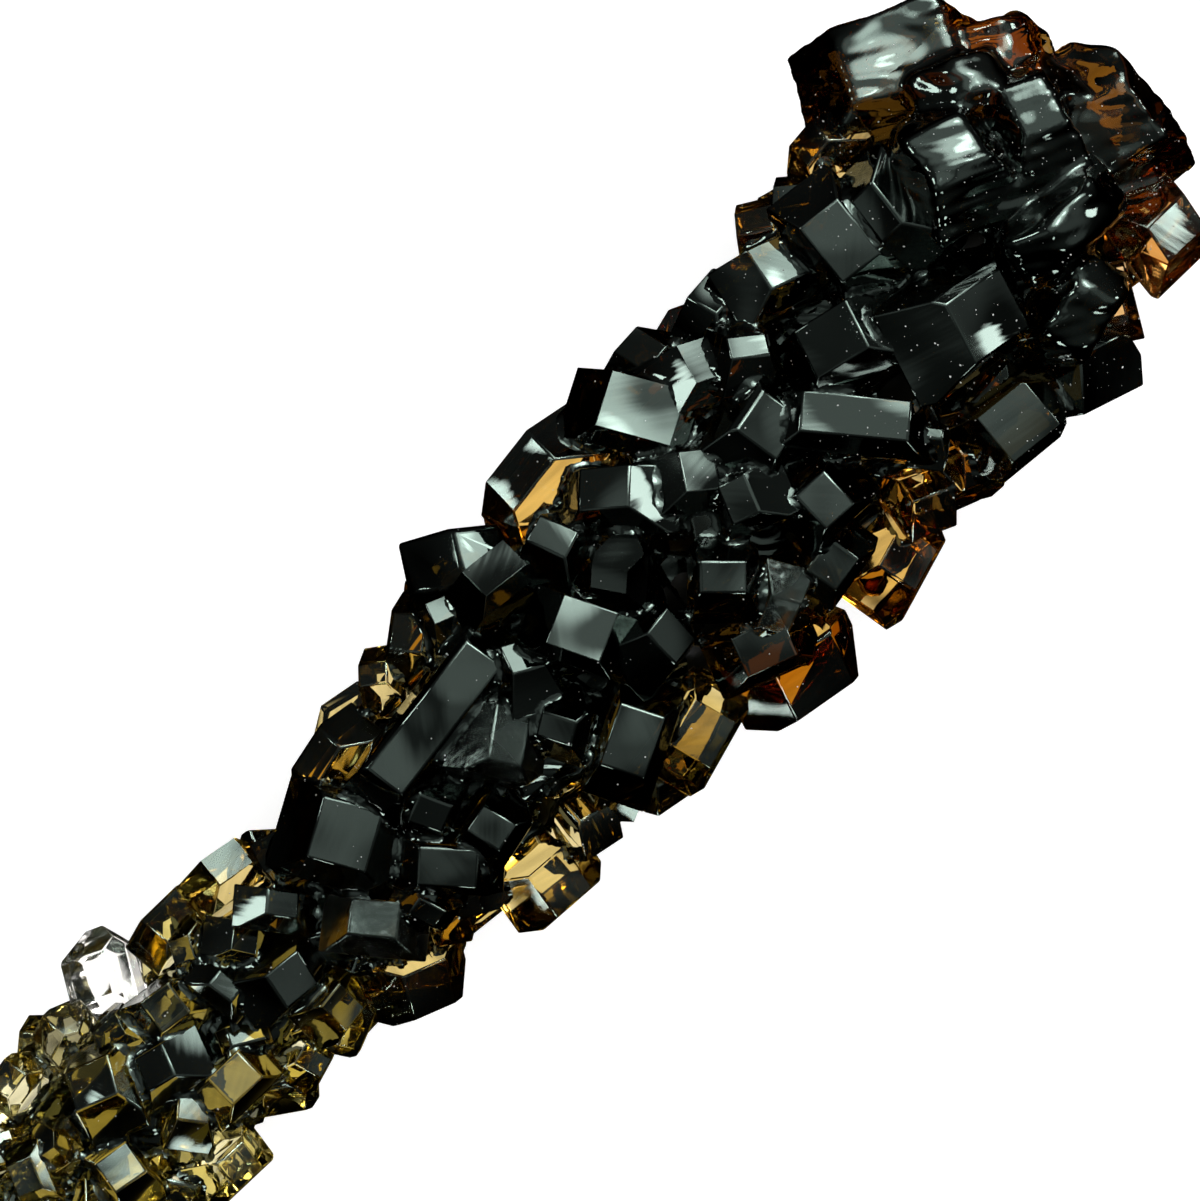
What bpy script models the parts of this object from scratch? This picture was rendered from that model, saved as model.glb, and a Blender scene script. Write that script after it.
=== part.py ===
"""Rock candy stick: clear sugar crystals grown in a heap round the end of a plain wooden dowel.
The stick lies down on its crystals, tip toward +X. Sizes are in millimetres in the tables, metres in the scene."""
import math
import random

import bmesh
import bpy
import numpy as np

for old in list(bpy.data.objects):
    bpy.data.objects.remove(old, do_unlink=True)

MM = 0.001

# ---- driving sizes, millimetres ---------------------------------------------------
CANDY_LENGTH = 100.0      # length of stick that is covered by crystals
STICK_BARE = 65.0         # bare dowel below the crystals
STICK_R = 2.3             # dowel radius
STICK_IN = 16.0           # how far the dowel runs up inside the crystals
SKIN = 0.3                # clearance of the dowel in its socket
REST_R = 2.7              # height of the dowel's axis at its free end
SLOPE = 0.0524            # rise of the axis toward the tip: the crystals are thicker there
REST_CUT = 0.5            # how deep the floor cuts the lowest corners into small flats
X_SHIFT = -(CANDY_LENGTH - STICK_BARE) / 2
Y_SHIFT = -1.0            # the widest crystal leans to one side; this centres the whole

# Half-width of the crystal heap at stations along the stick (0 = lower end, 100 = tip)
PROFILE = [(0, 4.4), (4, 5.4), (10, 6.2), (17, 6.9), (28, 6.7), (35, 7.1), (40, 7.5), (44, 8.5), (50, 9.4),
           (55, 10.3), (62, 10.7), (68, 10.1), (74, 10.0), (80, 11.0), (86, 12.0), (91, 11.4), (95, 9.4),
           (98, 6.6), (100, 3.0)]
LOWER_COUNT = 54          # crystals on the sides and the underside
CORE = 0.66               # the solid heart of the heap, as a share of the half-width


def half_width(s):
    return float(np.interp(s, [p[0] for p in PROFILE], [p[1] for p in PROFILE]))


def axis_height(s):
    return REST_R + SLOPE * (s + STICK_BARE)


# ---- the sugar crystal -----------------------------------------------------------
# Sucrose is monoclinic: a = 10.863, b = 8.705, c = 7.759 angstrom, beta = 102.94 degrees.
# A face (h k l) has the normal h a* + k b* + l c*. Here b* runs along the crystal's length,
# a* through its thickness, and c* across its width, leaning 77.06 degrees from a*.
BETA = math.radians(102.94)
A_STAR = np.array([0.0, 0.0, 1 / (10.863 * math.sin(BETA))])
B_STAR = np.array([1 / 8.705, 0.0, 0.0])
C_STAR = np.array([0.0, math.sin(math.pi - BETA), math.cos(math.pi - BETA)]) / (7.759 * math.sin(BETA))


def face_normal(h, k, l):
    n = h * A_STAR + k * B_STAR + l * C_STAR
    return n / np.linalg.norm(n)

def crystal_planes(length, width, thick, habit=(0.0, 0.0, 0.0)):
    """Planes (normal, distance) of one crystal in its own frame: length, width, thickness.
    habit = how deep the edge faces r, d and the end faces q cut, each 0 to 1."""
    hl, hw, ht = length / 2, width / 2, thick / 2
    planes = []
    for sgn in (1, -1):
        planes.append((sgn * face_normal(1, 0, 0), ht))
        planes.append((sgn * face_normal(0, 0, 1), hw * 0.97))
        n = face_normal(1, 0, -1)                     # r: the long bevel of the acute edges
        corner = abs(n[1]) * hw + abs(n[2]) * ht
        planes.append((sgn * n, corner * (0.93 - 0.22 * habit[0])))
        if habit[1] > 0:
            n = face_normal(1, 0, 1)                  # d: the bevel of the other edges
            corner = abs(n[1]) * hw + abs(n[2]) * ht
            planes.append((sgn * n, corner * (0.97 - 0.25 * habit[1])))
        for up in (1, -1):                            # p: the roof at each end
            n = face_normal(up, sgn, 0)
            planes.append((n, abs(n[0]) * hl + abs(n[2]) * ht * 0.28))
        if habit[2] > 0 and sgn > 0:                  # q: cuts the corners of one end only
            for s2 in (1, -1):
                n = face_normal(0, 1, s2)
                corner = abs(n[0]) * hl + abs(n[1]) * hw
                planes.append((n, corner * (0.96 - 0.3 * habit[2])))
    return planes

def hull_of(planes):
    """Corner points and ordered faces of the convex solid inside the planes."""
    N = np.array([p[0] for p in planes]); D = np.array([p[1] for p in planes])
    m = len(N)
    I, J, K = np.array([(i, j, k) for i in range(m) for j in range(i + 1, m) for k in range(j + 1, m)]).T
    M = np.stack([N[I], N[J], N[K]], 1)
    det = np.linalg.det(M)
    ok = np.abs(det) > 1e-6
    M = M[ok]; R = np.stack([D[I], D[J], D[K]], 1)[ok]
    P = np.linalg.solve(M, R[..., None])[..., 0]
    P = P[(P @ N.T <= D + 1e-6).all(1)]
    pts = []
    for p in P:
        if not any(np.abs(p - q).max() < 1e-5 for q in pts):
            pts.append(p)
    pts = np.array(pts)
    faces = []
    for n, d in zip(N, D):
        on = np.nonzero(np.abs(pts @ n - d) < 1e-5)[0]
        if len(on) < 3:
            continue
        c = pts[on].mean(0)
        u = pts[on[0]] - c; u /= np.linalg.norm(u)
        v = np.cross(n, u)
        ang = np.arctan2((pts[on] - c) @ v, (pts[on] - c) @ u)
        faces.append([int(i) for i in on[np.argsort(ang)]])
    return pts, faces

def axes_of(turn, pitch, roll):
    """Columns length, width, thickness of a crystal that lies flat at angle turn, then dips its
    +length end by pitch and its +width side by roll (degrees)."""
    a, p, r = (math.radians(v) for v in (turn, pitch, roll))
    l = np.array([math.cos(a), math.sin(a), 0.0]); w = np.array([-math.sin(a), math.cos(a), 0.0]); t = np.array([0, 0, 1.0])
    l, t = math.cos(p) * l - math.sin(p) * t, math.cos(p) * t + math.sin(p) * l
    w, t = math.cos(r) * w - math.sin(r) * t, math.cos(r) * t + math.sin(r) * w
    return np.stack([l, w, t], 1)

# ---- the large crystals of the upper side -------------------------------------------
# along the stick, across it, turn of the length, length, width, thickness, dip of the length,
# dip of the width, lift above the heap, reach (how far across the outermost corner lies, 0 = free)
LARGE = [
    # the melted tip
    (90.4, 10.0, -30, 9.2, 6.2, 7.0, 6, 8, 1.6, 14.2),
    (94.3, 6.6, -38, 4.8, 4.0, 5.0, 10, 6, 0.8, 8.9),
    (95.6, -0.6, 80, 8.2, 6.4, 7.4, 4, -10, -1.0, 0),
    (87.6, 3.4, 76, 6.6, 5.6, 6.0, -4, -6, 0.8, 0),
    (84.4, 3.9, 80, 5.8, 3.2, 5.0, 0, 24, 0.2, 0),
    (81.0, 4.9, 82, 6.6, 4.0, 5.0, 0, 0, 0.6, 0),
    (82.2, -2.4, -11, 7.6, 5.6, 6.0, 10, -8, 0.4, 0),
    (80.7, -8.6, -7, 5.8, 4.0, 4.4, 2, -2, 1.2, -10.8),
    (85.6, -9.0, 84, 6.2, 4.4, 5.0, 8, -22, -0.6, -12.2),
    (88.9, -8.6, 60, 3.8, 2.6, 3.4, -6, 10, -0.2, -10.5),
    (93.4, -7.2, 80, 5.0, 4.6, 4.6, -4, -10, 0.4, -9.8),
    (89.8, -2.9, 1, 6.8, 3.8, 5.0, 4, -10, 0.5, 0),
    (92.2, 1.8, 70, 6.0, 3.8, 5.0, 8, 14, 0.2, 0),
    (87.0, -6.4, 10, 5.6, 3.4, 4.0, -2, -8, 0.4, 0),
    (91.4, 5.6, -30, 5.2, 3.6, 5.0, 4, 16, 0.4, 0),
    (84.3, 9.0, 3, 4.2, 3.0, 4.0, -6, 22, 0.4, 10.6),
    (81.0, 8.4, 40, 3.2, 2.6, 3.4, 4, 12, 0.2, 9.9),
    (78.8, 8.6, 48, 3.6, 2.8, 3.6, 10, 6, 0.2, 10.5),
    # the thick part below the tip
    (77.2, 6.2, -20, 5.0, 3.8, 4.4, 8, 10, 0.0, 0),
    (74.2, 7.0, 3, 4.8, 3.4, 4.4, 2, 16, 0.0, 9.0),
    (69.2, 8.0, 2, 4.6, 3.2, 4.6, 0, 12, 0.5, 9.8),
    (66.9, 6.0, -62, 7.2, 4.2, 5.2, 0, 18, 0.8, 0),
    (70.4, 5.4, -28, 4.6, 3.6, 4.6, 4, 12, 0.4, 0),
    (72.8, 4.5, 57, 3.4, 2.8, 3.6, 2, -2, 0.9, 0),
    (61.2, 7.6, 5, 7.0, 4.2, 5.6, -2, 16, 0.9, 10.2),
    (62.9, 3.8, -42, 5.8, 3.8, 5.0, -6, 10, 0.6, 0),
    (60.5, 1.2, 40, 3.6, 3.0, 4.0, -8, 8, 0.6, 0),
    (56.5, 0.4, -66, 5.6, 3.6, 4.4, 6, 18, 0.8, 0),
    (58.8, -2.4, 5, 4.6, 3.8, 4.6, 10, -6, 0.4, 0),
    (63.8, -2.9, 44, 4.0, 3.6, 4.0, 4, 4, 0.9, 0),
    (67.8, -1.2, -20, 4.0, 3.2, 4.0, -4, 6, 0.7, 0),
    (70.5, -3.8, -4, 4.6, 3.4, 4.4, 0, -2, 0.8, 0),
    (68.4, -6.5, 8, 4.4, 2.8, 4.0, -4, -6, 1.0, 0),
    (74.4, -2.4, -52, 8.2, 3.2, 4.2, 4, 14, 0.9, 0),
    (76.5, -5.9, 35, 2.4, 2.0, 3.0, 0, 8, 1.2, 0),
    (77.2, 0.6, -15, 6.2, 4.4, 5.0, -6, 8, 0.3, 0),
    (70.9, -9.2, 14, 5.6, 3.8, 4.8, 4, -12, 0.8, -11.7),
    (74.2, -8.2, 70, 3.6, 2.8, 3.6, 8, -10, 0.3, -10.2),
    (77.6, -8.7, 50, 4.4, 3.2, 4.2, -8, -14, 0.5, -10.6),
    (63.3, -9.3, -12, 7.0, 4.4, 5.2, 2, -16, 0.7, -12.1),
    (62.6, -7.0, -22, 5.2, 3.4, 4.0, 6, -6, 1.2, 0),
    (64.7, -5.6, 20, 4.0, 2.6, 3.4, -6, -14, 0.9, 0),
    (66.2, 1.9, -40, 4.6, 3.4, 4.6, 6, 6, 0.2, 0),
    (70.6, 1.2, 10, 5.6, 4.4, 5.0, 8, -4, 0.3, 0),
    (58.9, 4.4, 15, 4.2, 3.4, 4.4, 4, 10, 0.1, 0),
    # the middle
    (54.4, 8.2, -40, 6.0, 5.4, 6.0, 4, 10, 1.0, 11.2),
    (55.3, 5.5, -8, 5.2, 2.8, 4.0, 4, 20, 0.3, 0),
    (54.2, -5.4, 25, 6.0, 3.6, 4.4, 2, -2, 1.0, 0),
    (56.8, -8.0, 14, 5.4, 3.6, 4.4, -4, -16, 0.4, -10.1),
    (53.4, -8.6, 80, 3.0, 2.2, 3.0, 0, -16, -0.4, -9.9),
    (47.8, 3.0, 6, 11.2, 3.8, 4.4, 3, 6, 1.0, 0),
    (39.6, 2.0, -62, 6.6, 5.2, 5.6, 2, 6, 1.2, 0),
    (37.2, -2.4, -52, 5.0, 3.2, 4.0, 10, 4, 0.8, 0),
    (34.0, 2.3, -56, 3.8, 2.4, 3.4, 4, 6, 0.8, 0),
    (36.4, 4.0, 80, 3.0, 2.4, 3.2, -4, 12, 0.4, 5.7),
    (33.5, 5.2, -12, 4.6, 2.8, 4.0, 0, 16, 0.6, 7.0),
    (42.2, 5.6, 10, 5.2, 3.0, 4.2, -2, 18, 0.6, 7.4),
    (47.2, 6.7, 46, 3.4, 2.6, 3.6, 6, 12, -0.3, 8.6),
    (50.2, 7.0, 36, 4.6, 3.4, 4.2, 4, 14, 0.2, 9.2),
    (51.9, 6.4, 70, 3.2, 2.4, 3.2, 0, 20, 0.6, 0),
    (49.0, -0.3, -61, 4.6, 4.0, 4.6, 4, 8, 1.0, 0),
    (45.4, -3.4, 10, 4.0, 3.0, 4.0, 4, -6, 0.6, 0),
    (42.5, -2.8, -50, 5.4, 2.8, 3.8, 6, 4, 0.6, 0),
    (40.2, -3.4, -76, 3.2, 1.8, 2.6, 0, -6, 1.0, 0),
    (45.5, -7.3, -6, 5.2, 3.8, 4.4, 2, -14, 0.5, -9.6),
    (49.1, -6.7, 84, 4.0, 2.6, 3.6, 8, -6, 0.2, -8.8),
    (51.4, -6.9, 50, 3.2, 2.6, 3.4, 6, -12, -0.2, -8.6),
    (36.6, -6.0, -24, 5.2, 3.8, 4.4, 2, -16, 0.4, -8.6),
    (40.2, -5.3, 60, 2.6, 2.0, 2.8, 6, -14, -0.3, -6.8),
    (42.3, -5.3, -35, 3.0, 2.0, 2.8, -4, -14, -0.2, -6.6),
    (44.2, 0.3, 20, 4.0, 3.2, 4.0, -6, -4, 0.2, 0),
    (52.6, 1.4, 70, 4.2, 3.0, 4.0, 8, -6, 0.2, 0),
    (52.5, -2.2, 30, 3.6, 2.8, 3.8, -6, 6, 0.2, 0),
    # the narrow end
    (32.4, -3.4, 5, 3.6, 2.8, 3.4, 0, -12, 0.4, 0),
    (31.9, -5.2, 20, 3.0, 2.2, 3.0, -6, -16, -0.2, -6.6),
    (24.4, 6.2, 60, 4.0, 3.0, 3.4, 0, 6, 0.4, 8.5),
    (29.3, 5.8, -2, 4.8, 2.8, 3.6, 0, 18, 0.2, 7.2),
    (26.2, 2.7, -10, 4.0, 3.2, 3.6, 4, 2, 0.8, 0),
    (29.6, 3.8, 62, 3.2, 2.4, 3.2, 0, 12, 0.5, 0),
    (28.9, 1.4, -86, 3.2, 1.8, 2.8, 4, 8, 0.9, 0),
    (31.4, 2.6, -60, 3.2, 2.2, 3.0, 8, 10, 0.6, 0),
    (31.6, -0.4, -8, 4.6, 3.2, 4.0, 4, -4, 0.6, 0),
    (25.8, -2.8, -3, 4.2, 2.8, 3.4, 6, -2, 1.0, 0),
    (26.9, -5.1, -38, 4.0, 2.2, 2.8, 0, -10, 0.0, -6.8),
    (29.1, -4.5, 15, 3.0, 2.4, 3.0, 0, -14, 0.2, -6.2),
    (22.0, -5.0, -4, 4.0, 3.2, 3.6, 4, -12, 0.6, -7.2),
    (20.7, 2.0, 62, 4.8, 3.6, 4.2, 4, 6, 0.9, 0),
    (20.9, 5.7, 14, 3.6, 2.6, 3.4, -4, 16, 0.5, 7.5),
    (19.0, 6.6, 40, 3.0, 2.2, 3.0, 4, 12, -0.2, 8.2),
    (16.8, 5.7, 8, 3.4, 2.4, 3.0, 0, 16, 0.0, 7.4),
    (14.7, 1.8, 66, 3.6, 2.2, 3.0, 2, -8, 0.8, 0),
    (16.5, 2.0, 85, 3.2, 2.4, 3.2, -6, 6, 0.4, 0),
    (17.8, -1.7, 82, 4.0, 2.8, 3.4, 4, -6, 0.7, 0),
    (19.4, -4.6, -60, 3.2, 2.2, 2.8, 0, -12, 0.2, -6.3),
    (24.0, 0.3, -14, 4.0, 3.0, 3.6, -4, 4, 0.6, 0),
    (22.6, -2.2, 40, 3.2, 2.6, 3.2, 6, -6, 0.3, 0),
    (15.2, -2.0, 20, 3.4, 2.4, 3.0, -4, -8, 0.5, 0),
    (13.6, 4.4, -30, 3.4, 2.6, 3.2, 4, 14, 0.4, 5.9),
    (23.2, 3.4, 75, 3.2, 2.4, 3.2, 6, 8, 0.3, 0),
    (16.6, -4.4, 35, 3.2, 2.4, 3.0, 4, -16, 0.3, -6.0),
    (13.0, -4.2, -20, 3.2, 2.4, 3.0, -4, -18, 0.2, -5.6),
    (12.4, 0.4, 15, 3.4, 2.6, 3.0, 6, 4, 0.4, 0),
]


def upper_crystals():
    """The hand-placed crystals: each lies on the heap with its broad face up."""
    out = []
    for i, (s, y, turn, length, width, thick, pitch, roll, lift, reach) in enumerate(LARGE):
        rng = random.Random(100 + i)
        habit = (rng.uniform(0, 1), rng.uniform(0.05, 0.7), rng.choice([0, 0, rng.uniform(0.2, 0.9)]))
        if length < 5.0:                      # the small ones keep only their main faces
            habit = (habit[0], 0, 0)
        r = half_width(s) * 0.96
        z = max(math.sqrt(max(r * r - y * y, 0.0)) - thick / 2 + lift, -0.5)
        pts, faces = hull_of(crystal_planes(length, width, thick, habit))
        pts = pts @ axes_of(turn, pitch, roll).T + np.array([s, y, z])
        if reach > 0:
            pts[:, 1] += reach - pts[:, 1].max()
        if reach < 0:
            pts[:, 1] += reach - pts[:, 1].min()
        pts[:, 2] += axis_height(s)
        out.append((pts, faces))
    return out


# ---- the crystals of the sides and the underside --------------------------------------
TURN_STEP = 137.508       # golden angle, so the rings never line up
AROUND = (163.0, 377.0)   # sector filled, degrees from +Y over the top (90) to the underside (270)


def lower_crystals(count, seed):
    rng = random.Random(seed)
    out = []
    for i in range(count):
        s = 8.5 + (96.5 - 8.5) * ((i + 0.5) / count) ** 0.88
        phi = math.radians(AROUND[0] + ((i * TURN_STEP / 360.0) % 1.0) * (AROUND[1] - AROUND[0]))
        r = half_width(s)
        grow = r / 9.5
        length = rng.uniform(5.2, 8.2) * grow ** 0.6
        width = length * rng.uniform(0.62, 0.86)
        thick = width * rng.uniform(0.8, 1.1)
        habit = (rng.uniform(0, 1), 0, 0)
        out.append(place_round(s, phi, length, width, thick, rng.uniform(0, 360), rng.uniform(-24, 24),
                               rng.uniform(-24, 24), habit, rng.uniform(-0.3, 0.5), r))
    return out


def place_round(s, phi, length, width, thick, turn, pitch, roll, habit, lift, r):
    """One crystal on the flank of the heap: broad face outward at angle phi, no corner beyond the heap."""
    pts, faces = hull_of(crystal_planes(length, width, thick, habit))
    pts = pts @ axes_of(turn, pitch, roll).T
    radial = np.array([0.0, math.cos(phi), math.sin(phi)])
    across = np.array([0.0, math.sin(phi), -math.cos(phi)])
    frame = np.stack([np.array([1.0, 0, 0]), across, radial], 1)
    pts = pts @ frame.T + radial * (r * 0.98 - thick / 2 + lift) + np.array([s, 0.0, 0.0])
    reach = np.hypot(pts[:, 1], pts[:, 2]).max()
    limit = r * (1.0 if abs(math.cos(phi)) > 0.5 else 1.07) + 0.1
    if reach > limit:
        pts -= radial * (reach - limit)
    if math.sin(phi) < -0.75 and s < 60:      # the underside of the narrow part is what the heap lies on
        pts[:, 2] -= pts[:, 2].min() + axis_height(s) + REST_CUT
    pts[:, 2] += axis_height(s)
    return pts, faces


# ---- the small crystals round the dowel at the lower end --------------------------------
def collar_crystals(seed):
    rng = random.Random(seed)
    out = []
    for s, count, size in ((2.4, 7, 3.6), (6.0, 7, 4.4), (10.0, 7, 4.8)):
        start = rng.uniform(0, 360)
        for i in range(count):
            phi = math.radians(start + 360.0 * (i + rng.uniform(-0.25, 0.25)) / count)
            length = size * rng.uniform(0.85, 1.2)
            width = length * rng.uniform(0.6, 0.85)
            thick = width * rng.uniform(0.8, 1.1)
            habit = (rng.uniform(0, 1), 0, 0)
            out.append(place_round(s + rng.uniform(-0.7, 0.7), phi, length, width, thick, rng.uniform(0, 360),
                                   rng.uniform(-22, 22), rng.uniform(-22, 22), habit, 0.0, half_width(s)))
    return out


# ---- the crystals that close the tip ------------------------------------------------------
def tip_crystals(seed):
    rng = random.Random(seed)
    out = []
    for i in range(7):
        phi = math.radians(60 * i + 20)
        off = 0.0 if i == 6 else 5.4
        outward = np.array([1.0, 0.0, 0.0]) if i == 6 else np.array([1.0, 0.6 * math.cos(phi), 0.6 * math.sin(phi)])
        outward /= np.linalg.norm(outward)
        side = np.cross(outward, np.array([0.0, 0.3, 1.0]))
        side /= np.linalg.norm(side)
        frame = np.stack([side, np.cross(outward, side), outward], 1)
        length, width = rng.uniform(5.6, 7.0), rng.uniform(4.4, 5.4)
        pts, faces = hull_of(crystal_planes(length, width, 5.0, (rng.uniform(0, 1), 0, 0)))
        pts = pts @ axes_of(rng.uniform(0, 360), rng.uniform(-12, 12), rng.uniform(-12, 12)).T @ frame.T
        pts += np.array([0.0, off * math.cos(phi), off * math.sin(phi)])
        pts[:, 0] += (98.8 if i == 6 else 97.0) - pts[:, 0].max()
        pts[:, 2] += axis_height(97)
        out.append((pts, faces))
    return out


# ---- meshes ---------------------------------------------------------------------------
def to_scene(p):
    return ((p[0] + X_SHIFT) * MM, (p[1] + Y_SHIFT) * MM, p[2] * MM)


def add_solid(bm, pts, faces):
    verts = [bm.verts.new(to_scene(p)) for p in pts]
    for f in faces:
        bm.faces.new([verts[i] for i in f])


def mesh_object(name, bm):
    bmesh.ops.recalc_face_normals(bm, faces=bm.faces)
    mesh = bpy.data.meshes.new(name)
    bm.to_mesh(mesh)
    bm.free()
    obj = bpy.data.objects.new(name, mesh)
    bpy.context.scene.collection.objects.link(obj)
    return obj


def turned(name, profile, sides, first=0.0):
    """A solid turned about the stick's axis from (station, radius) pairs; radius 0 closes an end in a point."""
    bm = bmesh.new()
    rings = []
    for s, r in profile:
        if r <= 0:
            rings.append([bm.verts.new(to_scene((s, 0.0, axis_height(s))))])
            continue
        ring = []
        for i in range(sides):
            a = first + 2 * math.pi * i / sides
            ring.append(bm.verts.new(to_scene((s, r * math.cos(a), axis_height(s) + r * math.sin(a)))))
        rings.append(ring)
    for one, two in zip(rings, rings[1:]):
        for i in range(sides):
            j = (i + 1) % sides
            if len(one) == 1:
                bm.faces.new([one[0], two[i], two[j]])
            elif len(two) == 1:
                bm.faces.new([one[j], one[i], two[0]])
            else:
                bm.faces.new([one[j], one[i], two[i], two[j]])
    for ring in (rings[0], rings[-1]):
        if len(ring) > 1:
            bm.faces.new(ring)
    return mesh_object(name, bm)


def boolean(obj, name, operation, operand, own=False):
    mod = obj.modifiers.new(name, "BOOLEAN")
    mod.operation = operation
    mod.object = operand
    mod.solver = "EXACT"
    mod.use_self = own
    operand.hide_render = True
    operand.hide_viewport = False
    operand.display_type = "WIRE"


def keep_outer_skin(obj):
    """Works the union out and drops the skins of the closed pockets left between crystals deep in the heap."""
    bpy.context.view_layer.update()
    whole = obj.evaluated_get(bpy.context.evaluated_depsgraph_get())
    bm = bmesh.new()
    bm.from_mesh(whole.to_mesh())
    whole.to_mesh_clear()
    left = set(bm.faces)
    skins = []
    while left:
        stack = [next(iter(left))]
        left.discard(stack[0])
        skin = []
        while stack:
            face = stack.pop()
            skin.append(face)
            for edge in face.edges:
                for other in edge.link_faces:
                    if other in left:
                        left.discard(other)
                        stack.append(other)
        skins.append(skin)
    skins.sort(key=lambda skin: (-len(skin), min(f.index for f in skin)))
    inner = [f for skin in skins[1:] for f in skin]
    bmesh.ops.delete(bm, geom=inner, context="FACES")
    bmesh.ops.dissolve_limit(bm, angle_limit=math.radians(0.3), verts=bm.verts, edges=bm.edges)
    obj.modifiers.clear()
    bm.to_mesh(obj.data)
    bm.free()


def material(name, colour, roughness, transmission=0.0, ior=1.5):
    mat = bpy.data.materials.new(name)
    mat.use_nodes = True
    shader = mat.node_tree.nodes["Principled BSDF"]
    shader.inputs["Base Color"].default_value = (*colour, 1.0)
    shader.inputs["Roughness"].default_value = roughness
    shader.inputs["Transmission Weight"].default_value = transmission
    shader.inputs["IOR"].default_value = ior
    return mat


# ---- the heap of crystals -----------------------------------------------------------------
heap = bmesh.new()
for pts, faces in upper_crystals() + lower_crystals(LOWER_COUNT, 7) + collar_crystals(11) + tip_crystals(5):
    add_solid(heap, pts, faces)
candy = mesh_object("candy", heap)
stations = (1.6, 6, 14, 24, 34, 42, 50, 58, 66, 74, 82, 88, 92, 95)
core = turned("core", [(s, half_width(s) * CORE) for s in stations], 10, math.radians(18))
boolean(candy, "grown_together", "UNION", core, own=True)
keep_outer_skin(candy)
bpy.data.objects.remove(core, do_unlink=True)

# the floor side: corners worn flat where the heap lies
floor = bmesh.new()
bmesh.ops.create_cube(floor, size=1.0)
for v in floor.verts:
    v.co = ((v.co.x * 240) * MM, (v.co.y * 60) * MM, (v.co.z * 20 - 10) * MM)
floor = mesh_object("floor_cut", floor)
boolean(candy, "rest_flats", "DIFFERENCE", floor)

# the blind socket that the dowel stands in
socket = turned("socket_cut", [(-8, STICK_R + SKIN), (STICK_IN - 0.6, STICK_R + SKIN), (STICK_IN + SKIN, STICK_R - 0.5)],
                24)
boolean(candy, "stick_socket", "DIFFERENCE", socket)

# ---- the dowel ------------------------------------------------------------------------------
ROUND = 0.7
nose = [(-STICK_BARE + ROUND * (1 - math.cos(a)), STICK_R - ROUND * (1 - math.sin(a)))
        for a in (math.radians(d) for d in (0, 22.5, 45, 67.5, 90))]
end = [(STICK_IN - 0.6, STICK_R), (STICK_IN, STICK_R - 0.6)]
stick = turned("stick", nose + end, 24)
for face in stick.data.polygons:
    face.use_smooth = len(face.vertices) == 4

# ---- materials --------------------------------------------------------------------------------
candy.data.materials.append(material("sugar", (0.13, 0.10, 0.055), 0.06, 0.0, 1.54))
stick.data.materials.append(material("wood", (0.66, 0.48, 0.29), 0.7))
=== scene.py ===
"""The looks of the rock candy stick: glassy sugar crystals in brown glass-clear sugar, a bare wooden dowel, studio light."""

import math
import random

import bmesh
import bpy
import numpy as np
from mathutils import Matrix, Vector
from mathutils.bvhtree import BVHTree


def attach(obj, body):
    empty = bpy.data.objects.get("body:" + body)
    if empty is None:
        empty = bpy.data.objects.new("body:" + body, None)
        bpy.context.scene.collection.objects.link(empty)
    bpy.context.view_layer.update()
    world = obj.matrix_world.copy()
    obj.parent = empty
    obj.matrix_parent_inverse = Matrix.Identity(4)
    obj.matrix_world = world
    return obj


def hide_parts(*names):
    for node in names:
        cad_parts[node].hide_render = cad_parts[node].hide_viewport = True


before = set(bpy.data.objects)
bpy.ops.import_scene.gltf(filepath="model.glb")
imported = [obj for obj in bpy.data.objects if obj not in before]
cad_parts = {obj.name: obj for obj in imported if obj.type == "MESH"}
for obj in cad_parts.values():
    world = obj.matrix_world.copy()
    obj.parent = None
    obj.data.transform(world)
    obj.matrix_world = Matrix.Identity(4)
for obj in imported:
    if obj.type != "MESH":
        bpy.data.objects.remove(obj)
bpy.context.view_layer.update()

MM = 0.001
CANDY_LENGTH = 100.0
STICK_BARE = 65.0
STICK_R = 2.3
STICK_IN = 16.0
SKIN = 0.3
REST_R = 2.7
SLOPE = 0.0524
REST_CUT = 0.5
X_SHIFT = -(CANDY_LENGTH - STICK_BARE) / 2
Y_SHIFT = -1.0
HEART = 0.60              # the near-black heart, painted shade, as a share of the half-width

PROFILE = [(0, 4.4), (4, 5.4), (10, 6.2), (17, 6.9), (28, 6.7), (35, 7.1), (40, 7.5), (44, 8.5), (50, 9.4),
           (55, 10.3), (62, 10.7), (68, 10.1), (74, 10.0), (80, 11.0), (86, 12.0), (91, 11.4), (95, 9.4),
           (98, 6.6), (100, 3.0)]
LOWER_COUNT = 54          # crystals on the sides and the underside
CORE = 0.66               # the solid heart of the heap, as a share of the half-width


def half_width(s):
    return float(np.interp(s, [p[0] for p in PROFILE], [p[1] for p in PROFILE]))


def axis_height(s):
    return REST_R + SLOPE * (s + STICK_BARE)


# ---- the sugar crystal -----------------------------------------------------------
# Sucrose is monoclinic: a = 10.863, b = 8.705, c = 7.759 angstrom, beta = 102.94 degrees.
# A face (h k l) has the normal h a* + k b* + l c*. Here b* runs along the crystal's length,
# a* through its thickness, and c* across its width, leaning 77.06 degrees from a*.
BETA = math.radians(102.94)
A_STAR = np.array([0.0, 0.0, 1 / (10.863 * math.sin(BETA))])
B_STAR = np.array([1 / 8.705, 0.0, 0.0])
C_STAR = np.array([0.0, math.sin(math.pi - BETA), math.cos(math.pi - BETA)]) / (7.759 * math.sin(BETA))


def face_normal(h, k, l):
    n = h * A_STAR + k * B_STAR + l * C_STAR
    return n / np.linalg.norm(n)

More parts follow.
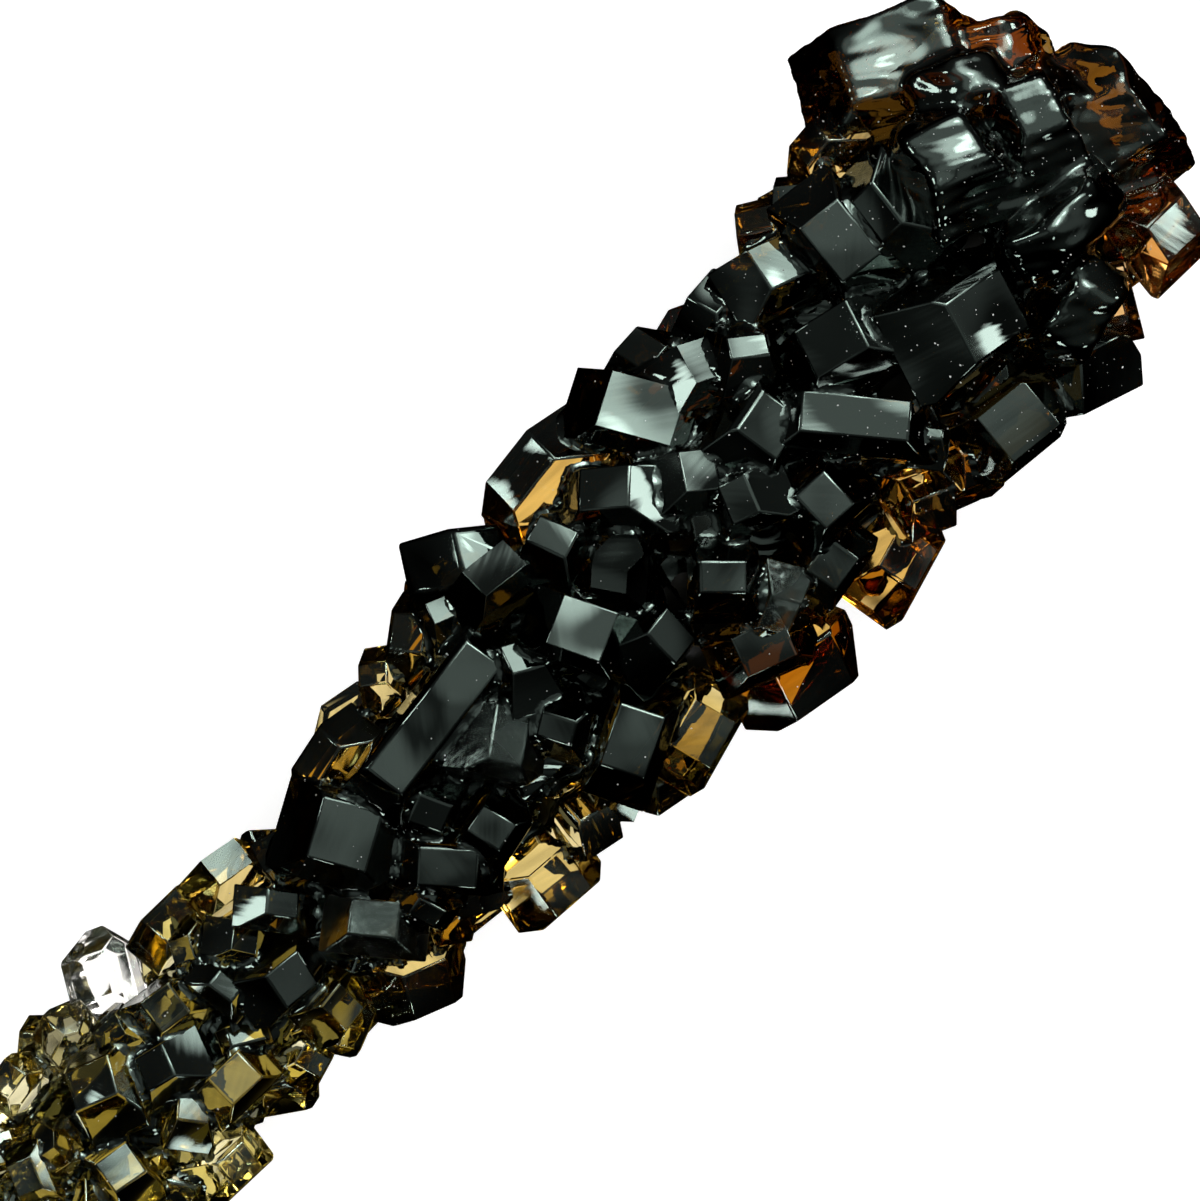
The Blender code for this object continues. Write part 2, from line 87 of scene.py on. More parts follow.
def crystal_planes(length, width, thick, habit=(0.0, 0.0, 0.0)):
    """Planes (normal, distance) of one crystal in its own frame: length, width, thickness.
    habit = how deep the edge faces r, d and the end faces q cut, each 0 to 1."""
    hl, hw, ht = length / 2, width / 2, thick / 2
    planes = []
    for sgn in (1, -1):
        planes.append((sgn * face_normal(1, 0, 0), ht))
        planes.append((sgn * face_normal(0, 0, 1), hw * 0.97))
        n = face_normal(1, 0, -1)                     # r: the long bevel of the acute edges
        corner = abs(n[1]) * hw + abs(n[2]) * ht
        planes.append((sgn * n, corner * (0.93 - 0.22 * habit[0])))
        if habit[1] > 0:
            n = face_normal(1, 0, 1)                  # d: the bevel of the other edges
            corner = abs(n[1]) * hw + abs(n[2]) * ht
            planes.append((sgn * n, corner * (0.97 - 0.25 * habit[1])))
        for up in (1, -1):                            # p: the roof at each end
            n = face_normal(up, sgn, 0)
            planes.append((n, abs(n[0]) * hl + abs(n[2]) * ht * 0.28))
        if habit[2] > 0 and sgn > 0:                  # q: cuts the corners of one end only
            for s2 in (1, -1):
                n = face_normal(0, 1, s2)
                corner = abs(n[0]) * hl + abs(n[1]) * hw
                planes.append((n, corner * (0.96 - 0.3 * habit[2])))
    return planes

def hull_of(planes):
    """Corner points and ordered faces of the convex solid inside the planes."""
    N = np.array([p[0] for p in planes]); D = np.array([p[1] for p in planes])
    m = len(N)
    I, J, K = np.array([(i, j, k) for i in range(m) for j in range(i + 1, m) for k in range(j + 1, m)]).T
    M = np.stack([N[I], N[J], N[K]], 1)
    det = np.linalg.det(M)
    ok = np.abs(det) > 1e-6
    M = M[ok]; R = np.stack([D[I], D[J], D[K]], 1)[ok]
    P = np.linalg.solve(M, R[..., None])[..., 0]
    P = P[(P @ N.T <= D + 1e-6).all(1)]
    pts = []
    for p in P:
        if not any(np.abs(p - q).max() < 1e-5 for q in pts):
            pts.append(p)
    pts = np.array(pts)
    faces = []
    for n, d in zip(N, D):
        on = np.nonzero(np.abs(pts @ n - d) < 1e-5)[0]
        if len(on) < 3:
            continue
        c = pts[on].mean(0)
        u = pts[on[0]] - c; u /= np.linalg.norm(u)
        v = np.cross(n, u)
        ang = np.arctan2((pts[on] - c) @ v, (pts[on] - c) @ u)
        faces.append([int(i) for i in on[np.argsort(ang)]])
    return pts, faces

def axes_of(turn, pitch, roll):
    """Columns length, width, thickness of a crystal that lies flat at angle turn, then dips its
    +length end by pitch and its +width side by roll (degrees)."""
    a, p, r = (math.radians(v) for v in (turn, pitch, roll))
    l = np.array([math.cos(a), math.sin(a), 0.0]); w = np.array([-math.sin(a), math.cos(a), 0.0]); t = np.array([0, 0, 1.0])
    l, t = math.cos(p) * l - math.sin(p) * t, math.cos(p) * t + math.sin(p) * l
    w, t = math.cos(r) * w - math.sin(r) * t, math.cos(r) * t + math.sin(r) * w
    return np.stack([l, w, t], 1)


# along the stick, across it, turn of the length, length, width, thickness, dip of the length,
# dip of the width, lift above the heap, reach (how far across the outermost corner lies, 0 = free)
LARGE = [
    # the melted tip
    (90.2, 9.8, -30, 10.2, 6.6, 7.0, 6, 8, 1.6, 14.2),
    (94.3, 6.6, -38, 4.8, 4.0, 5.0, 10, 6, 0.8, 8.9),
    (95.4, -0.9, 82, 8.0, 6.2, 7.4, 4, -10, -1.0, 0),
    (87.6, 3.4, 76, 6.6, 5.6, 6.0, -4, -6, 0.8, 0),
    (84.4, 3.9, 80, 5.8, 3.2, 5.0, 0, 24, 0.2, 0),
    (81.0, 4.9, 82, 6.6, 4.0, 5.0, 0, 0, 0.6, 0),
    (82.2, -2.4, -11, 7.6, 5.6, 6.0, 10, -8, 0.4, 0),
    (80.7, -8.6, -7, 5.8, 4.0, 4.4, 2, -2, 1.2, -10.8),
    (85.6, -9.0, 84, 6.2, 4.4, 5.0, 8, -22, -0.6, -12.2),
    (88.9, -8.6, 60, 3.8, 2.6, 3.4, -6, 10, -0.2, -10.5),
    (93.4, -7.2, 80, 5.0, 4.6, 4.6, -4, -10, 0.4, -9.8),
    (89.8, -2.9, 1, 6.8, 3.8, 5.0, 4, -10, 0.5, 0),
    (92.2, 1.8, 70, 6.0, 3.8, 5.0, 8, 14, 0.2, 0),
    (87.0, -6.4, 10, 5.6, 3.4, 4.0, -2, -8, 0.4, 0),
    (91.4, 5.6, -30, 5.2, 3.6, 5.0, 4, 16, 0.4, 0),
    (84.3, 9.0, 3, 4.2, 3.0, 4.0, -6, 22, 0.4, 10.6),
    (81.0, 8.4, 40, 3.2, 2.6, 3.4, 4, 12, 0.2, 9.9),
    (78.8, 8.6, 48, 3.6, 2.8, 3.6, 10, 6, 0.2, 10.5),
    # the thick part below the tip
    (77.2, 6.2, -20, 5.0, 3.8, 4.4, 8, 10, 0.0, 0),
    (74.2, 7.0, 3, 4.8, 3.4, 4.4, 2, 16, 0.0, 9.0),
    (69.2, 8.0, 2, 4.6, 3.2, 4.6, 0, 12, 0.5, 9.8),
    (66.9, 6.0, -62, 7.2, 4.2, 5.2, 0, 18, 0.8, 0),
    (70.4, 5.4, -28, 4.6, 3.6, 4.6, 4, 12, 0.4, 0),
    (72.8, 4.5, 57, 3.4, 2.8, 3.6, 2, -2, 0.9, 0),
    (61.2, 7.6, 5, 7.0, 4.2, 5.6, -2, 16, 0.9, 10.2),
    (62.9, 3.8, -42, 5.8, 3.8, 5.0, -6, 10, 0.6, 0),
    (60.5, 1.2, 40, 3.6, 3.0, 4.0, -8, 8, 0.6, 0),
    (56.5, 0.4, -66, 5.6, 3.6, 4.4, 6, 18, 0.8, 0),
    (58.8, -2.4, 5, 4.6, 3.8, 4.6, 10, -6, 0.4, 0),
    (63.8, -2.9, 44, 4.0, 3.6, 4.0, 4, 4, 0.9, 0),
    (67.8, -1.2, -20, 4.0, 3.2, 4.0, -4, 6, 0.7, 0),
    (70.5, -3.8, -4, 4.6, 3.4, 4.4, 0, -2, 0.8, 0),
    (68.4, -6.5, 8, 4.4, 2.8, 4.0, -4, -6, 1.0, 0),
    (74.4, -2.4, -52, 8.2, 3.2, 4.2, 4, 14, 0.9, 0),
    (76.5, -5.9, 35, 2.4, 2.0, 3.0, 0, 8, 1.2, 0),
    (77.2, 0.6, -15, 6.2, 4.4, 5.0, -6, 8, 0.3, 0),
    (70.9, -9.2, 14, 5.6, 3.8, 4.8, 4, -12, 0.8, -11.7),
    (74.2, -8.2, 70, 3.6, 2.8, 3.6, 8, -10, 0.3, -10.2),
    (77.6, -8.7, 50, 4.4, 3.2, 4.2, -8, -14, 0.5, -10.6),
    (63.3, -9.3, -12, 7.0, 4.4, 5.2, 2, -16, 0.7, -12.1),
    (62.6, -7.0, -22, 5.2, 3.4, 4.0, 6, -6, 1.2, 0),
    (64.7, -5.6, 20, 4.0, 2.6, 3.4, -6, -14, 0.9, 0),
    (66.2, 1.9, -40, 4.6, 3.4, 4.6, 6, 6, 0.2, 0),
    (70.6, 1.2, 10, 5.6, 4.4, 5.0, 8, -4, 0.3, 0),
    (58.9, 4.4, 15, 4.2, 3.4, 4.4, 4, 10, 0.1, 0),
    # the middle
    (54.4, 8.2, -40, 6.0, 5.4, 6.0, 4, 10, 1.0, 11.2),
    (55.3, 5.5, -8, 5.2, 2.8, 4.0, 4, 20, 0.3, 0),
    (54.2, -5.4, 25, 6.0, 3.6, 4.4, 2, -2, 1.0, 0),
    (56.8, -8.0, 14, 5.4, 3.6, 4.4, -4, -16, 0.4, -10.1),
    (53.4, -8.6, 80, 3.0, 2.2, 3.0, 0, -16, -0.4, -9.9),
    (47.8, 3.0, 6, 11.2, 3.8, 4.4, 3, 6, 1.0, 0),
    (39.6, 2.0, -62, 6.6, 5.2, 5.6, 2, 6, 1.2, 0),
    (37.2, -2.4, -52, 5.0, 3.2, 4.0, 10, 4, 0.8, 0),
    (34.0, 2.3, -56, 3.8, 2.4, 3.4, 4, 6, 0.8, 0),
    (36.4, 4.0, 80, 3.0, 2.4, 3.2, -4, 12, 0.4, 5.7),
    (33.5, 5.2, -12, 4.6, 2.8, 4.0, 0, 16, 0.6, 7.0),
    (42.2, 5.6, 10, 5.2, 3.0, 4.2, -2, 18, 0.6, 7.4),
    (47.2, 6.7, 46, 3.4, 2.6, 3.6, 6, 12, -0.3, 8.6),
    (50.2, 7.0, 36, 4.6, 3.4, 4.2, 4, 14, 0.2, 9.2),
    (51.9, 6.4, 70, 3.2, 2.4, 3.2, 0, 20, 0.6, 0),
    (49.0, -0.3, -61, 4.6, 4.0, 4.6, 4, 8, 1.0, 0),
    (45.4, -3.4, 10, 4.0, 3.0, 4.0, 4, -6, 0.6, 0),
    (42.5, -2.8, -50, 5.4, 2.8, 3.8, 6, 4, 0.6, 0),
    (40.2, -3.4, -76, 3.2, 1.8, 2.6, 0, -6, 1.0, 0),
    (45.5, -7.3, -6, 5.2, 3.8, 4.4, 2, -14, 0.5, -9.6),
    (49.1, -6.7, 84, 4.0, 2.6, 3.6, 8, -6, 0.2, -8.8),
    (51.4, -6.9, 50, 3.2, 2.6, 3.4, 6, -12, -0.2, -8.6),
    (36.6, -6.0, -24, 5.2, 3.8, 4.4, 2, -16, 0.4, -8.6),
    (40.2, -5.3, 60, 2.6, 2.0, 2.8, 6, -14, -0.3, -6.8),
    (42.3, -5.3, -35, 3.0, 2.0, 2.8, -4, -14, -0.2, -6.6),
    (44.2, 0.3, 20, 4.0, 3.2, 4.0, -6, -4, 0.2, 0),
    (52.6, 1.4, 70, 4.2, 3.0, 4.0, 8, -6, 0.2, 0),
    (52.5, -2.2, 30, 3.6, 2.8, 3.8, -6, 6, 0.2, 0),
    # the narrow end
    (32.4, -3.4, 5, 3.6, 2.8, 3.4, 0, -12, 0.4, 0),
    (31.9, -5.2, 20, 3.0, 2.2, 3.0, -6, -16, -0.2, -6.6),
    (24.4, 6.2, 60, 4.0, 3.0, 3.4, 0, 6, 0.4, 8.5),
    (29.3, 5.8, -2, 4.8, 2.8, 3.6, 0, 18, 0.2, 7.2),
    (26.2, 2.7, -10, 4.0, 3.2, 3.6, 4, 2, 0.8, 0),
    (29.6, 3.8, 62, 3.2, 2.4, 3.2, 0, 12, 0.5, 0),
    (28.9, 1.4, -86, 3.2, 1.8, 2.8, 4, 8, 0.9, 0),
    (31.4, 2.6, -60, 3.2, 2.2, 3.0, 8, 10, 0.6, 0),
    (31.6, -0.4, -8, 4.6, 3.2, 4.0, 4, -4, 0.6, 0),
    (25.8, -2.8, -3, 4.2, 2.8, 3.4, 6, -2, 1.0, 0),
    (26.9, -5.1, -38, 4.0, 2.2, 2.8, 0, -10, 0.0, -6.8),
    (29.1, -4.5, 15, 3.0, 2.4, 3.0, 0, -14, 0.2, -6.2),
    (22.0, -5.0, -4, 4.0, 3.2, 3.6, 4, -12, 0.6, -7.2),
    (20.7, 2.0, 62, 4.8, 3.6, 4.2, 4, 6, 0.9, 0),
    (20.9, 5.7, 14, 3.6, 2.6, 3.4, -4, 16, 0.5, 7.5),
    (19.0, 6.6, 40, 3.0, 2.2, 3.0, 4, 12, -0.2, 8.2),
    (16.8, 5.7, 8, 3.4, 2.4, 3.0, 0, 16, 0.0, 7.4),
    (14.7, 1.8, 66, 3.6, 2.2, 3.0, 2, -8, 0.8, 0),
    (16.5, 2.0, 85, 3.2, 2.4, 3.2, -6, 6, 0.4, 0),
    (17.8, -1.7, 82, 4.0, 2.8, 3.4, 4, -6, 0.7, 0),
    (19.4, -4.6, -60, 3.2, 2.2, 2.8, 0, -12, 0.2, -6.3),
    (24.0, 0.3, -14, 4.0, 3.0, 3.6, -4, 4, 0.6, 0),
    (22.6, -2.2, 40, 3.2, 2.6, 3.2, 6, -6, 0.3, 0),
    (15.2, -2.0, 20, 3.4, 2.4, 3.0, -4, -8, 0.5, 0),
    (13.6, 4.4, -30, 3.4, 2.6, 3.2, 4, 14, 0.4, 5.9),
    (23.2, 3.4, 75, 3.2, 2.4, 3.2, 6, 8, 0.3, 0),
    (16.6, -4.4, 35, 3.2, 2.4, 3.0, 4, -16, 0.3, -6.0),
    (13.0, -4.2, -20, 3.2, 2.4, 3.0, -4, -18, 0.2, -5.6),
    (12.4, 0.4, 15, 3.4, 2.6, 3.0, 6, 4, 0.4, 0),
]


FROSTED = {52, 60, 41}
CLEAR = 75                # the one nearly colourless crystal, at the narrow end
CLEAR_GROW = 1.28
# crystals whose broad face looks straight up; the others lean by a few more degrees
LEVEL = {5, 7, 29, 31, 32, 40, 47, 50, 51, 61, 62, 77, 82}
# crystals that lean by an amount of their own, most of them toward the window at the tip and +Y side
BRIGHT = {0: (-4, 24), 2: (-10, 9), 3: (17, -11), 12: (22, -11), 21: (-5, 18), 27: (-5, 13), 33: (-2, 15), 34: (23, 4),
          59: (20, -10), 51: (-2, 9), 52: (-1, 15),
          61: (8, 6), 79: (6, 22), 82: (12, 12), 90: (4, 22), 48: (4, -14)}
# crystals shown letting the light through, with clear glass; the rest get a near-black base colour, painted shade for
# light that does not come through them
CRISP = {8, 15, 16}       # near the tip but not melted into it
SIDE = (10, 9)            # two clear amber crystals that stand out beside the tip
PAINTED_LIT_THROUGH = {1, 9, 10, 15, 17, 24, 36, 37, 38, 39, 48, 55, 56, 57, 58, 64, 65, 66, 67, 68, 69, 74, 75, 76, 83, 84, 85,
           88, 89, 93}


def upper_crystals():
    out = []
    for i, (s, y, turn, length, width, thick, pitch, roll, lift, reach) in enumerate(LARGE):
        rng = random.Random(100 + i)
        habit = (rng.uniform(0, 1), rng.uniform(0.05, 0.7), rng.choice([0, 0, rng.uniform(0.2, 0.9)]))
        if i in BRIGHT:
            pitch, roll = BRIGHT[i]
        elif i in LEVEL:
            pitch, roll = pitch * 0.4, roll * 0.4
        else:
            pitch += math.copysign(rng.uniform(7, 19), pitch + 0.1)
            roll += math.copysign(rng.uniform(6, 16), roll + 0.1)
        r = half_width(s) * 0.96
        z = max(math.sqrt(max(r * r - y * y, 0.0)) - thick / 2 + lift, -0.5)
        pts, faces = hull_of(crystal_planes(length, width, thick, habit))
        pts = pts @ axes_of(turn, pitch, roll).T + np.array([s, y, z])
        if reach > 0:
            pts[:, 1] += reach - pts[:, 1].max()
        if reach < 0:
            pts[:, 1] += reach - pts[:, 1].min()
        pts[:, 2] += axis_height(s)
        out.append((pts, faces))
    return out


TURN_STEP = 137.508
AROUND = (196.0, 344.0)


def place_round(s, phi, length, width, thick, turn, pitch, roll, habit, lift, r):
    pts, faces = hull_of(crystal_planes(length, width, thick, habit))
    pts = pts @ axes_of(turn, pitch, roll).T
    radial = np.array([0.0, math.cos(phi), math.sin(phi)])
    across = np.array([0.0, math.sin(phi), -math.cos(phi)])
    axes = np.stack([np.array([1.0, 0, 0]), across, radial], 1)
    pts = pts @ axes.T + radial * (r * 0.98 - thick / 2 + lift) + np.array([s, 0.0, 0.0])
    reach = np.hypot(pts[:, 1], pts[:, 2]).max()
    limit = r * (1.0 if abs(math.cos(phi)) > 0.5 else 1.07) + 0.1
    if reach > limit:
        pts -= radial * (reach - limit)
    if math.sin(phi) < -0.75 and s < 60:
        pts[:, 2] -= pts[:, 2].min() + axis_height(s) + REST_CUT
    pts[:, 2] += axis_height(s)
    return pts, faces


def lower_crystals(count, seed):
    rng = random.Random(seed)
    out = []
    for i in range(count):
        s = 8.5 + (96.5 - 8.5) * ((i + 0.5) / count) ** 0.88
        phi = math.radians(AROUND[0] + ((i * TURN_STEP / 360.0) % 1.0) * (AROUND[1] - AROUND[0]))
        r = half_width(s)
        grow = r / 9.5
        length = rng.uniform(4.2, 7.4) * grow ** 0.6
        width = length * rng.uniform(0.58, 0.86)
        thick = width * rng.uniform(0.8, 1.1)
        habit = (rng.uniform(0, 1), rng.uniform(0.05, 0.7), rng.choice([0, 0, rng.uniform(0.2, 0.9)]))
        out.append(place_round(s, phi, length, width, thick, rng.uniform(0, 360), rng.uniform(-24, 24),
                               rng.uniform(-24, 24), habit, rng.uniform(-0.3, 0.5), r))
    return out


def small_crystals(count, seed):
    """Small crystals that fill the hollows between the large ones on the upper side, leaning every way."""
    rng = random.Random(seed)
    out = []
    for _ in range(count):
        s = rng.uniform(11, 88)
        phi = math.radians(rng.uniform(22, 158))
        r = half_width(s) * rng.uniform(0.80, 0.90)
        length = rng.uniform(2.0, 3.6)
        width = length * rng.uniform(0.5, 0.8)
        thick = width * rng.uniform(0.8, 1.1)
        out.append(place_round(s, phi, length, width, thick, rng.uniform(0, 360), rng.uniform(-50, 50),
                               rng.uniform(-45, 45), (rng.uniform(0, 1), rng.uniform(0, 0.6), 0), 0.0, r))
    return out


def collar_crystals(seed):
    rng = random.Random(seed)
    out = []
    for s, count, size in ((2.4, 8, 3.4), (5.2, 8, 4.0), (7.8, 8, 4.2), (10.4, 9, 4.4)):
        start = rng.uniform(0, 360)
        for i in range(count):
            phi = math.radians(start + 360.0 * (i + rng.uniform(-0.25, 0.25)) / count)
            length = size * rng.uniform(0.85, 1.2)
            width = length * rng.uniform(0.6, 0.85)
            thick = width * rng.uniform(0.8, 1.1)
            habit = (rng.uniform(0, 1), rng.uniform(0.05, 0.7), 0)
            out.append(place_round(s + rng.uniform(-0.7, 0.7), phi, length, width, thick, rng.uniform(0, 360),
                                   rng.uniform(-22, 22), rng.uniform(-22, 22), habit, 0.0, half_width(s)))
    return out


def tip_crystals(seed):
    rng = random.Random(seed)
    out = []
    for i in range(7):
        phi = math.radians(60 * i + 20)
        off = 0.0 if i == 6 else 5.4
        outward = np.array([1.0, 0.0, 0.0]) if i == 6 else np.array([1.0, 0.6 * math.cos(phi), 0.6 * math.sin(phi)])
        outward /= np.linalg.norm(outward)
        side = np.cross(outward, np.array([0.0, 0.3, 1.0]))
        side /= np.linalg.norm(side)
        axes = np.stack([side, np.cross(outward, side), outward], 1)
        length, width = rng.uniform(5.6, 7.0), rng.uniform(4.4, 5.4)
        pts, faces = hull_of(crystal_planes(length, width, 5.0, (rng.uniform(0, 1), 0, 0)))
        pts = pts @ axes_of(rng.uniform(0, 360), rng.uniform(-12, 12), rng.uniform(-12, 12)).T @ axes.T
        pts += np.array([0.0, off * math.cos(phi), off * math.sin(phi)])
        pts[:, 0] += (98.8 if i == 6 else 97.0) - pts[:, 0].max()
        pts[:, 2] += axis_height(97)
        out.append((pts, faces))
    return out


def to_scene(p):
    return ((p[0] + X_SHIFT) * MM, (p[1] + Y_SHIFT) * MM, p[2] * MM)


def mesh_object(name, bm):
    bmesh.ops.recalc_face_normals(bm, faces=bm.faces)
    mesh = bpy.data.meshes.new(name)
    bm.to_mesh(mesh)
    bm.free()
    obj = bpy.data.objects.new(name, mesh)
    bpy.context.scene.collection.objects.link(obj)
    return obj


def turned(name, profile, sides, first=0.0):
    bm = bmesh.new()
    rings = []
    for s, r in profile:
        ring = []
        for i in range(sides):
            a = first + 2 * math.pi * i / sides
            ring.append(bm.verts.new(to_scene((s, r * math.cos(a), axis_height(s) + r * math.sin(a)))))
        rings.append(ring)
    for one, two in zip(rings, rings[1:]):
        for i in range(sides):
            j = (i + 1) % sides
            bm.faces.new([one[j], one[i], two[i], two[j]])
    for ring in (rings[0], rings[-1]):
        bm.faces.new(ring)
    return mesh_object(name, bm)


def applied(obj):
    """Works obj's modifiers out into its own mesh."""
    bpy.context.view_layer.update()
    mesh = bpy.data.meshes.new_from_object(obj.evaluated_get(bpy.context.evaluated_depsgraph_get()))
    obj.modifiers.clear()
    old = obj.data
    obj.data = mesh
    bpy.data.meshes.remove(old)


def boolean(obj, operation, operand, own=False, solver="EXACT"):
    mod = obj.modifiers.new(operation, "BOOLEAN")
    mod.operation = operation
    mod.object = operand
    mod.solver = solver
    if solver == "EXACT":
        mod.use_self = own
    applied(obj)
    bpy.data.objects.remove(operand, do_unlink=True)


def drop_pockets(obj):
    """Drops the skins of the closed pockets between crystals deep in the heap."""
    bm = bmesh.new()
    bm.from_mesh(obj.data)
    left = set(bm.faces)
    skins = []
    while left:
        stack = [next(iter(left))]
        left.discard(stack[0])
        skin = []
        while stack:
            face = stack.pop()
            skin.append(face)
            for edge in face.edges:
                for other in edge.link_faces:
                    if other in left:
                        left.discard(other)
                        stack.append(other)
        skins.append(skin)
    skins.sort(key=lambda skin: (-len(skin), min(f.index for f in skin)))
    bmesh.ops.delete(bm, geom=[f for skin in skins[1:] for f in skin], context="FACES")
    bm.to_mesh(obj.data)
    bm.free()


# ---- the heap, in four stretches that differ in colour -------------------------------------
# name, from, to (along the stick), rounds of smoothing of the syrup in the creases
ZONES = [("sugar_low", -5, 33, 2), ("sugar_mid", 33, 57, 2), ("sugar_upper", 57, 85.6, 3), ("sugar_tip", 85.6, 110, 7)]
MELTED = {45: 0.95}       # crystals of the table that are rounded out of turn
rng_tone = random.Random(23)


def melt_of(index, s):
    if index in MELTED:
        return MELTED[index]
    if index in CRISP:
        return 0.0
    return 0.4 * min(max((s - 84.0) / 5.0, 0.0), 1.0)


def ripple(p, scale, seed):
    """Smooth lumps from a few waves, about -1 to 1."""
    r = random.Random(seed)
    value = 0.0
    for _ in range(4):
        d = Vector((r.uniform(-1, 1), r.uniform(-1, 1), r.uniform(-1, 1))).normalized()
        value += math.sin(d.dot(p) / scale + r.uniform(0, 6.28))
    return value / 4


def crystal_mesh(pts, faces, melt, tone, frost, painted_light_through):
    one = bmesh.new()
    verts = [one.verts.new(to_scene(p)) for p in pts]
    for f in faces:
        one.faces.new([verts[i] for i in f])
    bmesh.ops.recalc_face_normals(one, faces=one.faces)
    rounded = bmesh.ops.bevel(one, geom=list(one.edges), offset=(0.10 + melt) * MM, segments=4 if melt > 0.1 else 2,
                              profile=0.5, affect="EDGES", clamp_overlap=True)
    for f in rounded["faces"]:
        f.smooth = True
    if melt > 0.1:
        for f in one.faces:
            f.smooth = True
    tones = one.faces.layers.float.new("tone")
    frosts = one.faces.layers.float.new("frost")
    # the light-through share below sets the base colour: near 0 gives a near-black crystal, painted shade
    glows = one.faces.layers.float.new("painted_light_through")
    for f in one.faces:
        f[tones] = tone
        f[frosts] = frost
        f[glows] = painted_light_through
    mesh = bpy.data.meshes.new("crystal")
    one.to_mesh(mesh)
    one.free()
    return mesh


def united(name, meshes, base):
    """All the meshes and the base object joined into one closed skin."""
    group = bpy.data.collections.new(name)
    bpy.context.scene.collection.children.link(group)
    parts = []
    for mesh in meshes:
        part = bpy.data.objects.new("part", mesh)
        group.objects.link(part)
        parts.append(part)
    mod = base.modifiers.new("grown", "BOOLEAN")
    mod.operation = "UNION"
    mod.operand_type = "COLLECTION"
    mod.collection = group
    mod.solver = "MANIFOLD"
    applied(base)
    for part in parts:
        bpy.data.objects.remove(part, do_unlink=True)
    bpy.data.collections.remove(group)
    return base


def syrup(obj, voxel, rounds, sink):
    """A softened copy of the heap: inside it at corners, outside it in creases, as dried syrup lies."""
    soft = bpy.data.objects.new("syrup", obj.data.copy())
    bpy.context.scene.collection.objects.link(soft)
    mod = soft.modifiers.new("voxels", "REMESH")
    mod.mode = "VOXEL"
    mod.voxel_size = voxel
    applied(soft)
    mesh = soft.data
    co = np.zeros(len(mesh.vertices) * 3)
    mesh.vertices.foreach_get("co", co)
    co = co.reshape(-1, 3)
    ends = np.zeros(len(mesh.edges) * 2, dtype=np.int64)
    mesh.edges.foreach_get("vertices", ends)
    a, b = ends.reshape(-1, 2).T
    count = np.bincount(np.concatenate([a, b]), minlength=len(co)).astype(float)[:, None]
    for _ in range(rounds):
        near = np.zeros_like(co)
        for k in range(3):
            near[:, k] = np.bincount(a, weights=co[b, k], minlength=len(co)) + np.bincount(b, weights=co[a, k],
                                                                                         minlength=len(co))
        co = co + 0.55 * (near / np.maximum(count, 1) - co)
    mesh.vertices.foreach_set("co", co.ravel())
    mesh.polygons.foreach_set("use_smooth", np.ones(len(mesh.polygons), dtype=bool))
    mesh.update()
    out = np.zeros(len(mesh.vertices) * 3)
    mesh.vertex_normals.foreach_get("vector", out)
    mesh.vertices.foreach_set("co", (co - out.reshape(-1, 3) * sink).ravel())
    mesh.update()
    return soft


def ripples(co, scale, seed):
    """ripple() for an array of points."""
    r = random.Random(seed)
    value = np.zeros(len(co))
    for _ in range(4):
        d = np.array(Vector((r.uniform(-1, 1), r.uniform(-1, 1), r.uniform(-1, 1))).normalized())
        value += np.sin(co @ d / scale + r.uniform(0, 6.28))
    return value / 4


def melt_surface(obj, voxel, rounds):
    """Turns the heap at the tip into one melted skin: rounded edges, lumps and drawn-out ripples."""
    soft = syrup(obj, voxel, rounds, 0.0)
    mesh = soft.data
    mesh.update()
    co = np.zeros(len(mesh.vertices) * 3)
    mesh.vertices.foreach_get("co", co)
    co = co.reshape(-1, 3)
    out = np.zeros(len(mesh.vertices) * 3)
    mesh.vertex_normals.foreach_get("vector", out)
    out = out.reshape(-1, 3)
    lump = ripples(co, 0.00055, 31) * 0.15 + ripples(co, 0.00030, 32) * 0.06
    drawn = np.sin(co @ np.array([0.8, 1.3, 0.6]) / 0.00024 + 3.0 * ripples(co, 0.0007, 33)) * 0.030
    co = co + out * ((lump + drawn) * MM)[:, None]
    mesh.vertices.foreach_set("co", co.ravel())
    mesh.update()
    old = obj.data
    obj.data = mesh
    bpy.data.objects.remove(soft)
    bpy.data.meshes.remove(old)


def soften_edges(obj):
    """Shades rounded faces smooth, keeps every edge of a flat crystal face crisp."""
    bm = bmesh.new()
    bm.from_mesh(obj.data)
    for e in bm.edges:
        flat = any(not f.smooth for f in e.link_faces)
        e.smooth = not flat and e.calc_face_angle(3.0) < math.radians(38)
    bm.to_mesh(obj.data)
    bm.free()


def inside(point, pts, faces):
    middle = pts.mean(axis=0)
    for f in faces:
        a, b, c = pts[f[0]], pts[f[1]], pts[f[2]]
        n = np.cross(b - a, c - a)
        if np.dot(n, middle - a) > 0:
            n = -n
        if np.dot(n, point - a) > 0:
            return False
    return True


